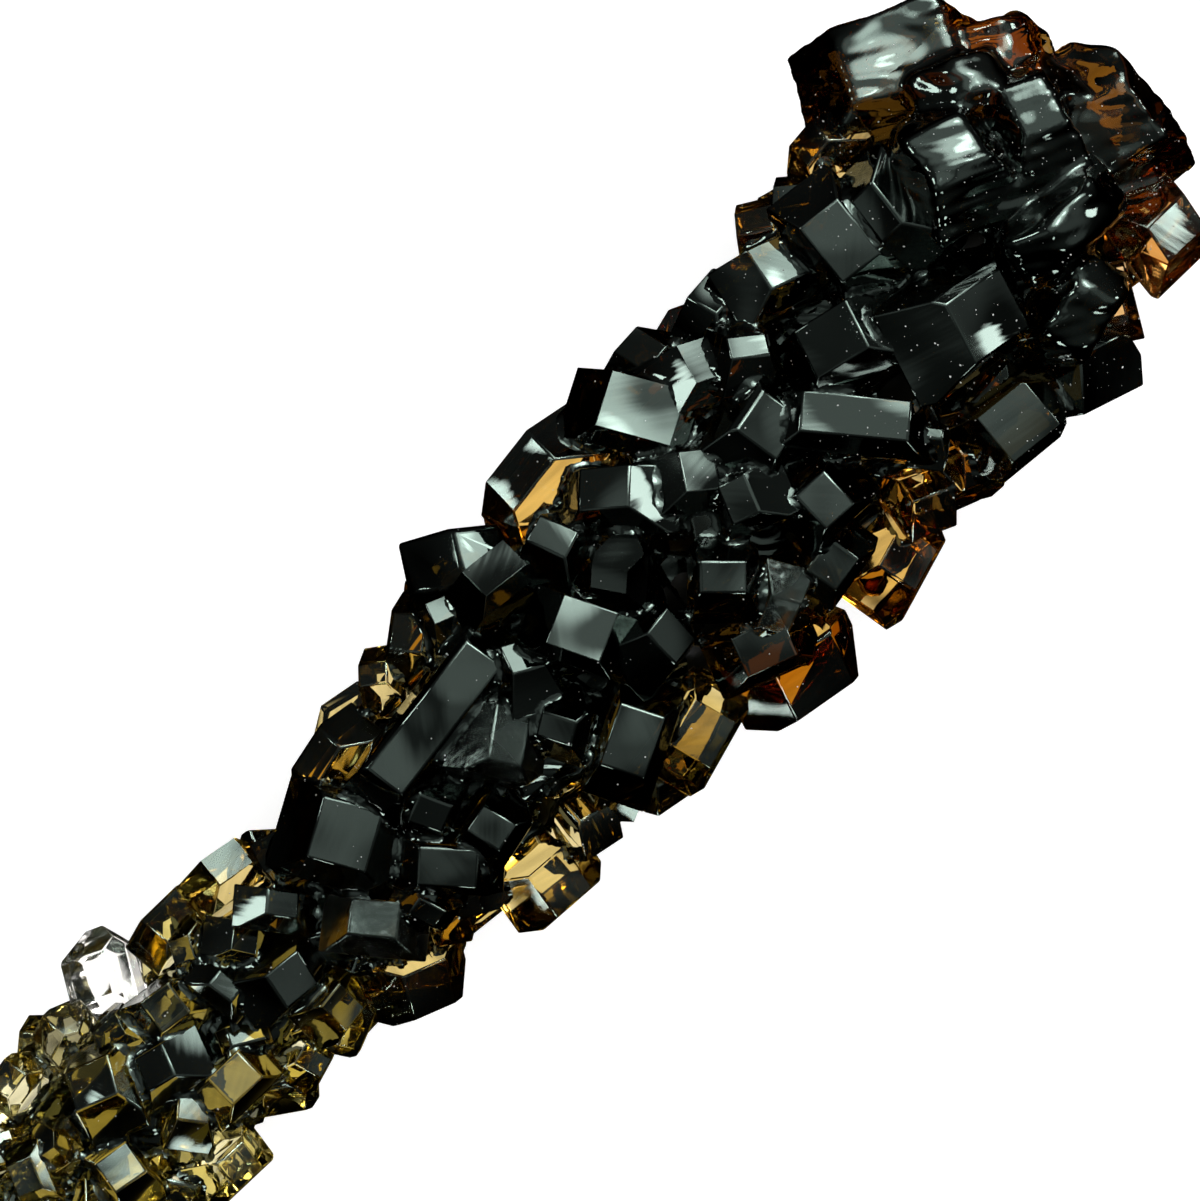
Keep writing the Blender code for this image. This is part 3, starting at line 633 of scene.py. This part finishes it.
catalogue = []
large = []
side_ones = {}
for i, (pts, faces) in enumerate(upper_crystals()):
    if i == CLEAR:
        middle = pts.mean(axis=0)
        clear_one = ((pts - middle) * CLEAR_GROW + middle, faces)
        continue
    s = LARGE[i][0]
    large.append((pts, faces))
    if i in SIDE:
        side_ones[i] = (pts, faces)
        continue
    # painted shade: a crystal that no light is shown through gets a near-black base colour, a little lighter toward
    # the narrow end
    dark = 0.002 + 0.5 * min(max((42 - s) / 30, 0.0), 1.0) * (0.35 + 0.65 * ((i * 0.618) % 1.0))
    catalogue.append((84.0 if i in CRISP else s, pts, faces, melt_of(i, s), 1.0 if i in FROSTED else 0.0,
                      1.0 if i in PAINTED_LIT_THROUGH else dark))
for k, (pts, faces) in enumerate(lower_crystals(74, 7) + collar_crystals(11) + tip_crystals(5)):
    s = float(pts[:, 0].mean())
    # painted shade on the underside: most of its crystals let light through, those under the tip get a dark base
    # colour
    clear = rng_tone.uniform(0.75, 1.0) if s < 91 else rng_tone.uniform(0.05, 0.45)
    catalogue.append((s, pts, faces, melt_of(-1, s), 1.0 if k % 17 == 5 else 0.0, clear))
for k, (pts, faces) in enumerate(small_crystals(90, 41)):
    s = float(pts[:, 0].mean())
    top = pts[pts[:, 2].argmax()]
    if any(inside(pts.mean(axis=0), *other) or inside(top, *other) for other in large):
        continue
    # small crystals let light through by a share picked at random; the lowest shares are painted shade
    catalogue.append((s, pts, faces, melt_of(-1, s), 0.0, rng_tone.choice((0.01, 0.05, 0.3, 0.9))))

STATIONS = (1.6, 6, 14, 24, 34, 42, 50, 58, 66, 74, 82, 88, 92, 95)
pieces = []
for name, low, high, rounds in ZONES:
    span = [s for s in STATIONS if low - 4 <= s <= high + 4]
    base = turned(name, [(s, half_width(s) * CORE) for s in span], 10, math.radians(18))
    meshes = [crystal_mesh(pts, faces, melt, rng_tone.random(), frost, painted_light_through)
              for s, pts, faces, melt, frost, painted_light_through in catalogue if low <= s < high]
    united(name, meshes, base)
    drop_pockets(base)
    if name == "sugar_tip":
        melt_surface(base, 0.20 * MM, rounds)
        # the melted skin takes the light-through share of the nearest crystal, painted shade included
        marks = [(pts.mean(axis=0), painted_light_through, frost) for s, pts, faces, melt, frost, painted_light_through in catalogue if low <= s < high]
        spots = np.array([to_scene(m[0]) for m in marks])
        middles = np.zeros(len(base.data.polygons) * 3)
        base.data.polygons.foreach_get("center", middles)
        far = ((middles.reshape(-1, 1, 3) - spots[None]) ** 2).sum(axis=2)
        near = far.argmin(axis=1)
        for label, values in (("painted_light_through", [m[1] for m in marks]), ("frost", [0.0] * len(marks)),
                              ("tone", [(0.37 * k) % 1 for k in range(len(marks))])):
            layer = base.data.attributes.new(label, "FLOAT", "FACE")
            layer.data.foreach_set("value", np.array(values)[near].astype(np.float32))
    else:
        boolean(base, "UNION", syrup(base, 0.30 * MM, rounds, 0.05 * MM), solver="MANIFOLD")
    drop_pockets(base)
    floor_cut = bmesh.new()
    bmesh.ops.create_cube(floor_cut, size=1.0)
    for v in floor_cut.verts:
        v.co = (v.co.x * 0.24, v.co.y * 0.06, v.co.z * 0.02 - 0.01)
    boolean(base, "DIFFERENCE", mesh_object("floor_cut", floor_cut), solver="MANIFOLD")
    if low < STICK_IN:
        boolean(base, "DIFFERENCE", turned("socket", [(-8, STICK_R + 0.02), (STICK_IN - 0.6, STICK_R + 0.02),
                                                      (STICK_IN + 0.02, STICK_R - 0.58)], 48), solver="MANIFOLD")
    soften_edges(base)
    print(name, "triangles", sum(len(p.vertices) - 2 for p in base.data.polygons), "of", len(catalogue), "crystals")
    pieces.append(base)


crystal = bpy.data.objects.new("sugar_side", crystal_mesh(*side_ones[SIDE[0]], 0.0, 0.21, 0.0, 1.0))
bpy.context.scene.collection.objects.link(crystal)
united("sugar_side", [crystal_mesh(*side_ones[SIDE[1]], 0.0, 0.64, 0.0, 1.0)], crystal)
soften_edges(crystal)
pieces.append(crystal)

crystal = bpy.data.objects.new("sugar_clear", crystal_mesh(*clear_one, 0.0, 0.0, 0.25, 1.0))
bpy.context.scene.collection.objects.link(crystal)
soften_edges(crystal)
pieces.append(crystal)

# the heart of the heap: a near-black core, painted shade for the thick middle that no light comes through
heart = bmesh.new()
rings = []
for k in range(73):
    s = 9.0 + k * (96.0 - 9.0) / 72
    share = HEART * (0.42 + 0.58 * min(max((s - 22) / 22, 0.0), 1.0))
    r0 = half_width(s) * share * math.sqrt(max(0.02, min(1.0, (s - 8.5) / 6, (96.8 - s) / 5)))
    ring = []
    for j in range(36):
        a = 2 * math.pi * j / 36
        p = Vector((s, r0 * math.cos(a), r0 * math.sin(a)))
        r = r0 * (1 + 0.13 * ripple(p, 1.3, 3) + 0.08 * ripple(p, 0.6, 4))
        ring.append(heart.verts.new(to_scene((s, r * math.cos(a), axis_height(s) + r * math.sin(a)))))
    rings.append(ring)
for one, two in zip(rings, rings[1:]):
    for j in range(36):
        heart.faces.new([one[(j + 1) % 36], one[j], two[j], two[(j + 1) % 36]])
heart.faces.new(rings[0])
heart.faces.new(list(reversed(rings[-1])))
heart = mesh_object("sugar_heart", heart)
heart.data.polygons.foreach_set("use_smooth", np.ones(len(heart.data.polygons), dtype=bool))


# sugar dust: loose grains on the upper faces, most of them toward the tip
bpy.context.view_layer.update()
trees = [BVHTree.FromObject(piece, bpy.context.evaluated_depsgraph_get()) for piece in pieces]
rng = random.Random(61)
dust = bmesh.new()
made = 0
while made < 1150:
    s = rng.uniform(12, 100) if rng.random() < 0.45 else rng.triangular(60, 100, 92)
    y = rng.uniform(-1, 1) * half_width(s)
    start = Vector(to_scene((s, y, 40)))
    hits = [hit for hit in (tree.ray_cast(start, Vector((0, 0, -1)))[0] for tree in trees) if hit]
    if not hits:
        continue
    top = max(hits, key=lambda hit: hit.z)
    size = rng.choice((0.013, 0.017, 0.021, 0.028, 0.042)) * MM * rng.uniform(0.8, 1.25)
    grain = bmesh.ops.create_icosphere(dust, subdivisions=1, radius=size)
    shape = Matrix.Rotation(rng.uniform(0, 6.28), 4, "Z") @ Matrix.Diagonal((rng.uniform(0.7, 1.6), 1, 0.7, 1))
    for v in grain["verts"]:
        v.co = shape @ v.co + top
    made += 1
dust = mesh_object("sugar_dust", dust)


# ---- materials -----------------------------------------------------------------------------
def node(tree, kind, **values):
    n = tree.nodes.new(kind)
    for key, value in values.items():
        setattr(n, key, value)
    return n


def sugar_material(name, clear, density, flow):
    mat = bpy.data.materials.new(name)
    mat.use_nodes = True
    t = mat.node_tree
    shader = t.nodes["Principled BSDF"]
    out = t.nodes["Material Output"]
    shader.inputs["IOR"].default_value = 1.54
    shader.inputs["Transmission Weight"].default_value = 1.0
    shader.inputs["Roughness"].default_value = 0.03
    shader.inputs["Specular Tint"].default_value = (0.76, 1.0, 0.88, 1)
    place = node(t, "ShaderNodeTexCoord")
    tone = node(t, "ShaderNodeAttribute", attribute_name="tone")
    frost = node(t, "ShaderNodeAttribute", attribute_name="frost")
    turn = node(t, "ShaderNodeMath", operation="MULTIPLY")
    t.links.new(tone.outputs["Fac"], turn.inputs[0])
    turn.inputs[1].default_value = 6.2832
    spin = node(t, "ShaderNodeVectorRotate", rotation_type="Z_AXIS")
    t.links.new(place.outputs["Object"], spin.inputs["Vector"])
    t.links.new(turn.outputs[0], spin.inputs["Angle"])
    # growth lines: long fine ridges, each crystal's own way
    lines_at = node(t, "ShaderNodeMapping")
    lines_at.inputs["Scale"].default_value = (110.0, 1100.0, 240.0)
    t.links.new(spin.outputs["Vector"], lines_at.inputs["Vector"])
    lines = node(t, "ShaderNodeTexNoise")
    lines.inputs["Scale"].default_value = 1.0
    lines.inputs["Detail"].default_value = 2.0
    t.links.new(lines_at.outputs["Vector"], lines.inputs["Vector"])
    # how much light the crystal is shown letting in: the listed ones let light through with drawn-out streaks; the
    # base colour of most is near black, painted shade for light that does not come through them
    painted_light_through = node(t, "ShaderNodeAttribute", attribute_name="painted_light_through")
    streak = node(t, "ShaderNodeMapRange")
    streak.inputs["From Min"].default_value = 0.36
    streak.inputs["From Max"].default_value = 0.60
    streak.inputs["To Min"].default_value = 0.95 if density < 50 else 0.62
    streak.inputs["To Max"].default_value = 1.0
    t.links.new(lines.outputs["Fac"], streak.inputs["Value"])
    painted_let_in = node(t, "ShaderNodeMath", operation="MULTIPLY")
    t.links.new(painted_light_through.outputs["Fac"], painted_let_in.inputs[0])
    t.links.new(streak.outputs["Result"], painted_let_in.inputs[1])
    colour = node(t, "ShaderNodeMix", data_type="RGBA")
    t.links.new(painted_let_in.outputs[0], colour.inputs["Factor"])
    # near-black base colour for crystals that no light comes through: painted shade
    colour.inputs[6].default_value = (0.01, 0.012, 0.01, 1)
    colour.inputs[7].default_value = (0.98, 0.97, 0.92, 1)
    t.links.new(colour.outputs[2], shader.inputs["Base Color"])
    # fingering of dried syrup
    wide = node(t, "ShaderNodeTexNoise")
    wide.inputs["Scale"].default_value = 260.0
    wide.inputs["Detail"].default_value = 1.0
    t.links.new(place.outputs["Object"], wide.inputs["Vector"])
    rough = node(t, "ShaderNodeMapRange")
    rough.inputs["From Min"].default_value = 0.45
    rough.inputs["From Max"].default_value = 0.75
    rough.inputs["To Min"].default_value = 0.015
    rough.inputs["To Max"].default_value = 0.12
    t.links.new(wide.outputs["Fac"], rough.inputs["Value"])
    frosty = node(t, "ShaderNodeMath", operation="MULTIPLY_ADD")
    t.links.new(frost.outputs["Fac"], frosty.inputs[0])
    frosty.inputs[1].default_value = 0.22
    t.links.new(rough.outputs["Result"], frosty.inputs[2])
    t.links.new(frosty.outputs[0], shader.inputs["Roughness"])
    pits = node(t, "ShaderNodeTexNoise")
    pits.inputs["Scale"].default_value = 1700.0
    pits.inputs["Detail"].default_value = 1.0
    t.links.new(place.outputs["Object"], pits.inputs["Vector"])
    # broad swell, so that no face mirrors as flatly as a cut one
    swell = node(t, "ShaderNodeTexNoise")
    swell.inputs["Scale"].default_value = 210.0
    swell.inputs["Detail"].default_value = 0.0
    t.links.new(spin.outputs["Vector"], swell.inputs["Vector"])
    heave = node(t, "ShaderNodeBump")
    heave.inputs["Strength"].default_value = 1.0
    heave.inputs["Distance"].default_value = 0.0009
    t.links.new(swell.outputs["Fac"], heave.inputs["Height"])
    first = node(t, "ShaderNodeBump")
    t.links.new(heave.outputs["Normal"], first.inputs["Normal"])
    first.inputs["Strength"].default_value = 0.20
    first.inputs["Distance"].default_value = 0.0001
    t.links.new(lines.outputs["Fac"], first.inputs["Height"])
    depth = node(t, "ShaderNodeMath", operation="MULTIPLY_ADD")
    t.links.new(frost.outputs["Fac"], depth.inputs[0])
    depth.inputs[1].default_value = 0.5
    depth.inputs[2].default_value = 0.0
    second = node(t, "ShaderNodeBump")
    second.inputs["Distance"].default_value = 0.0001
    t.links.new(depth.outputs[0], second.inputs["Strength"])
    t.links.new(pits.outputs["Fac"], second.inputs["Height"])
    # syrup drawn out in curling ridges: all over the melted tip, elsewhere only in the creases between crystals
    curl = node(t, "ShaderNodeTexWave", wave_type="BANDS", bands_direction="DIAGONAL")
    curl.inputs["Scale"].default_value = 260.0 if flow else 420.0
    curl.inputs["Distortion"].default_value = 9.0
    curl.inputs["Detail"].default_value = 1.5
    curl.inputs["Detail Scale"].default_value = 0.7
    t.links.new(place.outputs["Object"], curl.inputs["Vector"])
    third = node(t, "ShaderNodeBump")
    third.inputs["Strength"].default_value = 0.42
    third.inputs["Distance"].default_value = 0.00012
    t.links.new(curl.outputs["Fac"], third.inputs["Height"])
    t.links.new(first.outputs["Normal"], third.inputs["Normal"])
    if not flow:
        # syrup in the creases carries no light-through share, so it too gets the near-black painted shade; that also
        # marks it for the ridges
        crease = node(t, "ShaderNodeMath", operation="LESS_THAN")
        t.links.new(painted_light_through.outputs["Fac"], crease.inputs[0])
        crease.inputs[1].default_value = 0.001
        ridged = node(t, "ShaderNodeMath", operation="MULTIPLY")
        t.links.new(crease.outputs[0], ridged.inputs[0])
        ridged.inputs[1].default_value = 0.5
        t.links.new(ridged.outputs[0], third.inputs["Strength"])
    first = third
    t.links.new(first.outputs["Normal"], second.inputs["Normal"])
    t.links.new(second.outputs["Normal"], shader.inputs["Normal"])
    absorb = node(t, "ShaderNodeVolumeAbsorption")
    absorb.inputs["Color"].default_value = (*clear, 1)
    absorb.inputs["Density"].default_value = density
    t.links.new(absorb.outputs["Volume"], out.inputs["Volume"])
    return mat


# how clear each stretch is: share of red, green and blue kept, and how deep the colour is per metre
TINTS = {"sugar_low": ((0.88, 0.81, 0.34), 320.0), "sugar_mid": ((0.84, 0.70, 0.15), 440.0),
         "sugar_upper": ((0.86, 0.66, 0.06), 490.0), "sugar_tip": ((0.84, 0.62, 0.05), 480.0),
         "sugar_side": ((0.84, 0.56, 0.04), 520.0), "sugar_clear": ((0.97, 0.97, 0.93), 20.0)}

for piece in pieces:
    piece.data.materials.clear()
    piece.data.materials.append(sugar_material(piece.name + "_glass", *TINTS[piece.name], piece.name == "sugar_tip"))
    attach(piece, "root")
    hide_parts("candy")


def painted_shade_heart_material():
    mat = bpy.data.materials.new("sugar_heart_painted_shade")
    mat.use_nodes = True
    t = mat.node_tree
    shader = t.nodes["Principled BSDF"]
    place = node(t, "ShaderNodeTexCoord")
    grains = node(t, "ShaderNodeTexVoronoi")
    grains.inputs["Scale"].default_value = 420.0
    t.links.new(place.outputs["Object"], grains.inputs["Vector"])
    # near-black with a grain: painted shade for the middle of the heap
    ramp = node(t, "ShaderNodeValToRGB")
    ramp.color_ramp.elements[0].color = (0.0008, 0.0012, 0.0009, 1)
    ramp.color_ramp.elements[1].color = (0.006, 0.006, 0.003, 1)
    t.links.new(grains.outputs["Distance"], ramp.inputs["Fac"])
    t.links.new(ramp.outputs["Color"], shader.inputs["Base Color"])
    shader.inputs["Roughness"].default_value = 0.4
    shader.inputs["Specular IOR Level"].default_value = 0.1
    return mat


def dust_material():
    mat = bpy.data.materials.new("sugar_grains")
    mat.use_nodes = True
    t = mat.node_tree
    shader = t.nodes["Principled BSDF"]
    place = node(t, "ShaderNodeTexCoord")
    mottle = node(t, "ShaderNodeTexNoise")
    mottle.inputs["Scale"].default_value = 900.0
    t.links.new(place.outputs["Object"], mottle.inputs["Vector"])
    ramp = node(t, "ShaderNodeValToRGB")
    ramp.color_ramp.elements[0].color = (0.10, 0.11, 0.10, 1)
    ramp.color_ramp.elements[0].position = 0.35
    ramp.color_ramp.elements[1].color = (0.75, 0.78, 0.76, 1)
    ramp.color_ramp.elements[1].position = 0.65
    t.links.new(mottle.outputs["Fac"], ramp.inputs["Fac"])
    t.links.new(ramp.outputs["Color"], shader.inputs["Base Color"])
    shader.inputs["Roughness"].default_value = 0.5
    return mat


dust.data.materials.append(dust_material())
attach(dust, "root")
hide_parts("candy")
heart.data.materials.append(painted_shade_heart_material())
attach(heart, "root")
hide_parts("candy")


def wood_material():
    mat = bpy.data.materials.new("birch")
    mat.use_nodes = True
    t = mat.node_tree
    shader = t.nodes["Principled BSDF"]
    place = node(t, "ShaderNodeTexCoord")
    stretch = node(t, "ShaderNodeMapping")
    stretch.inputs["Scale"].default_value = (60.0, 2200.0, 2200.0)
    t.links.new(place.outputs["Object"], stretch.inputs["Vector"])
    grain = node(t, "ShaderNodeTexNoise")
    grain.inputs["Scale"].default_value = 1.0
    grain.inputs["Detail"].default_value = 6.0
    t.links.new(stretch.outputs["Vector"], grain.inputs["Vector"])
    ramp = node(t, "ShaderNodeValToRGB")
    ramp.color_ramp.elements[0].position = 0.32
    ramp.color_ramp.elements[0].color = (0.34, 0.21, 0.10, 1)
    ramp.color_ramp.elements[1].position = 0.62
    ramp.color_ramp.elements[1].color = (0.60, 0.43, 0.25, 1)
    t.links.new(grain.outputs["Fac"], ramp.inputs["Fac"])
    t.links.new(ramp.outputs["Color"], shader.inputs["Base Color"])
    shader.inputs["Roughness"].default_value = 0.62
    bump = node(t, "ShaderNodeBump")
    bump.inputs["Strength"].default_value = 0.25
    bump.inputs["Distance"].default_value = 0.0001
    t.links.new(grain.outputs["Fac"], bump.inputs["Height"])
    t.links.new(bump.outputs["Normal"], shader.inputs["Normal"])
    return mat


dowel = turned("dowel", [(-STICK_BARE, STICK_R - 0.42), (-STICK_BARE + 0.06, STICK_R - 0.24),
                         (-STICK_BARE + 0.20, STICK_R - 0.08), (-STICK_BARE + 0.42, STICK_R),
                         *[(s, STICK_R) for s in range(-60, 16, 5)],
                         (STICK_IN - 0.6, STICK_R), (STICK_IN, STICK_R - 0.6)], 72)
for face in dowel.data.polygons:
    face.use_smooth = len(face.vertices) == 4
dowel.data.materials.append(wood_material())
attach(dowel, "root")
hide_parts("stick")

# ---- floor and light ---------------------------------------------------------------------------
floor = bmesh.new()
bmesh.ops.create_grid(floor, x_segments=1, y_segments=1, size=3.0)
floor = mesh_object("studio_floor", floor)
floor.location.z = -0.00005
paper = bpy.data.materials.new("paper")
paper.use_nodes = True
paper.node_tree.nodes["Principled BSDF"].inputs["Base Color"].default_value = (0.9, 0.9, 0.9, 1)
paper.node_tree.nodes["Principled BSDF"].inputs["Roughness"].default_value = 1.0
paper.node_tree.nodes["Principled BSDF"].inputs["Specular IOR Level"].default_value = 0.0
paper.node_tree.nodes["Principled BSDF"].inputs["Emission Color"].default_value = (1, 1, 1, 1)
paper.node_tree.nodes["Principled BSDF"].inputs["Emission Strength"].default_value = 0.5
floor.data.materials.append(paper)
floor.visible_glossy = False
floor.visible_transmission = False

world = bpy.data.worlds.new("studio")
bpy.context.scene.world = world
world.cycles.sampling_method = "NONE"
world.use_nodes = True
t = world.node_tree
back = t.nodes["Background"]
coord = node(t, "ShaderNodeTexCoord")
path = node(t, "ShaderNodeLightPath")


def lobe(direction, inner, outer, strength):
    """A soft-edged round patch of light around a direction, angles in degrees from it."""
    d = Vector(direction).normalized()
    dot = node(t, "ShaderNodeVectorMath", operation="DOT_PRODUCT")
    t.links.new(coord.outputs["Generated"], dot.inputs[0])
    dot.inputs[1].default_value = d
    soft = node(t, "ShaderNodeMapRange", interpolation_type="SMOOTHSTEP")
    soft.inputs["From Min"].default_value = math.cos(math.radians(outer))
    soft.inputs["From Max"].default_value = math.cos(math.radians(inner))
    soft.inputs["To Max"].default_value = strength
    t.links.new(dot.outputs["Value"], soft.inputs["Value"])
    return soft.outputs["Result"]


def total(values):
    value = values[0]
    for other in values[1:]:
        plus = node(t, "ShaderNodeMath", operation="ADD")
        t.links.new(value, plus.inputs[0])
        t.links.new(other, plus.inputs[1])
        value = plus.outputs[0]
    return value


UP_IMAGE = (0.7242, 0.6896)
RIGHT_IMAGE = (0.6896, -0.7242)


def toward(right, up, elevation):
    """World direction of a lamp seen from above at this side of the picture, elevation in degrees."""
    e = math.radians(elevation)
    flat = Vector((right * RIGHT_IMAGE[0] + up * UP_IMAGE[0], right * RIGHT_IMAGE[1] + up * UP_IMAGE[1])).normalized()
    return (flat.x * math.cos(e), flat.y * math.cos(e), math.sin(e))


below = node(t, "ShaderNodeMath", operation="MULTIPLY")
t.links.new(lobe((0, 0, -1), 34, 54, 1.25), below.inputs[0])     # the lit ground seen through the sugar
t.links.new(path.outputs["Is Transmission Ray"], below.inputs[1])
seen_by_glass = total([
    below.outputs[0],
    lobe((0.02, 0.02, 1), 1, 16, 0.5),                # overhead panel
    lobe(toward(0.0, 1.0, 70), 12, 95, 0.21),        # the pale room above
    lobe(toward(0.15, 1.0, 38), 9, 25, 9.0),         # window at the top of the picture
    lobe(toward(0.25, 1.0, 41), 2, 9, 18.0),         # and its bright middle
    lobe(toward(0.0, 1.0, 52), 20, 36, 1.2),         # its soft surround
    lobe(toward(1.0, 0.1, 48), 12, 30, 0.5),
    lobe(toward(-1.0, -0.3, 50), 8, 24, 0.4),
    lobe(toward(-1.0, 0.5, 24), 5, 8, 17.0),         # narrow lamps that only edges pick up
    lobe(toward(1.0, 0.4, 18), 5, 8, 17.0),
    lobe(toward(0.3, -1.0, 24), 5, 8, 13.0),
    lobe(toward(-0.6, -1.0, 8), 4, 7, 14.0),
])
flat_light = node(t, "ShaderNodeMath", operation="MAXIMUM")
t.links.new(path.outputs["Is Camera Ray"], flat_light.inputs[0])
t.links.new(path.outputs["Is Diffuse Ray"], flat_light.inputs[1])
mix = node(t, "ShaderNodeMix", data_type="FLOAT")
t.links.new(flat_light.outputs[0], mix.inputs["Factor"])
t.links.new(seen_by_glass, mix.inputs[2])
mix.inputs[3].default_value = 1.1
t.links.new(mix.outputs[0], back.inputs["Strength"])
back.inputs["Color"].default_value = (1, 1, 1, 1)

bpy.context.scene.view_settings.view_transform = "Standard"
bpy.context.scene.cycles.max_bounces = 13
bpy.context.scene.cycles.transmission_bounces = 13
bpy.context.scene.cycles.glossy_bounces = 8

# ---- camera: straight down, the picture's top right toward the tip --------------------------------
data = bpy.data.cameras.new("camera")
camera = bpy.data.objects.new("camera", data)
bpy.context.scene.collection.objects.link(camera)
data.lens = 135.0
data.sensor_width = 36.0
data.clip_start = 0.01
WIDE = 65.75 * MM
distance = WIDE / 2 / math.tan(math.atan(18.0 / 135.0))
camera.location = (40.94 * MM, 0.02 * MM, 11.0 * MM + distance)
camera.rotation_euler = (0, 0, math.atan2(RIGHT_IMAGE[1], RIGHT_IMAGE[0]))
bpy.context.scene.camera = camera
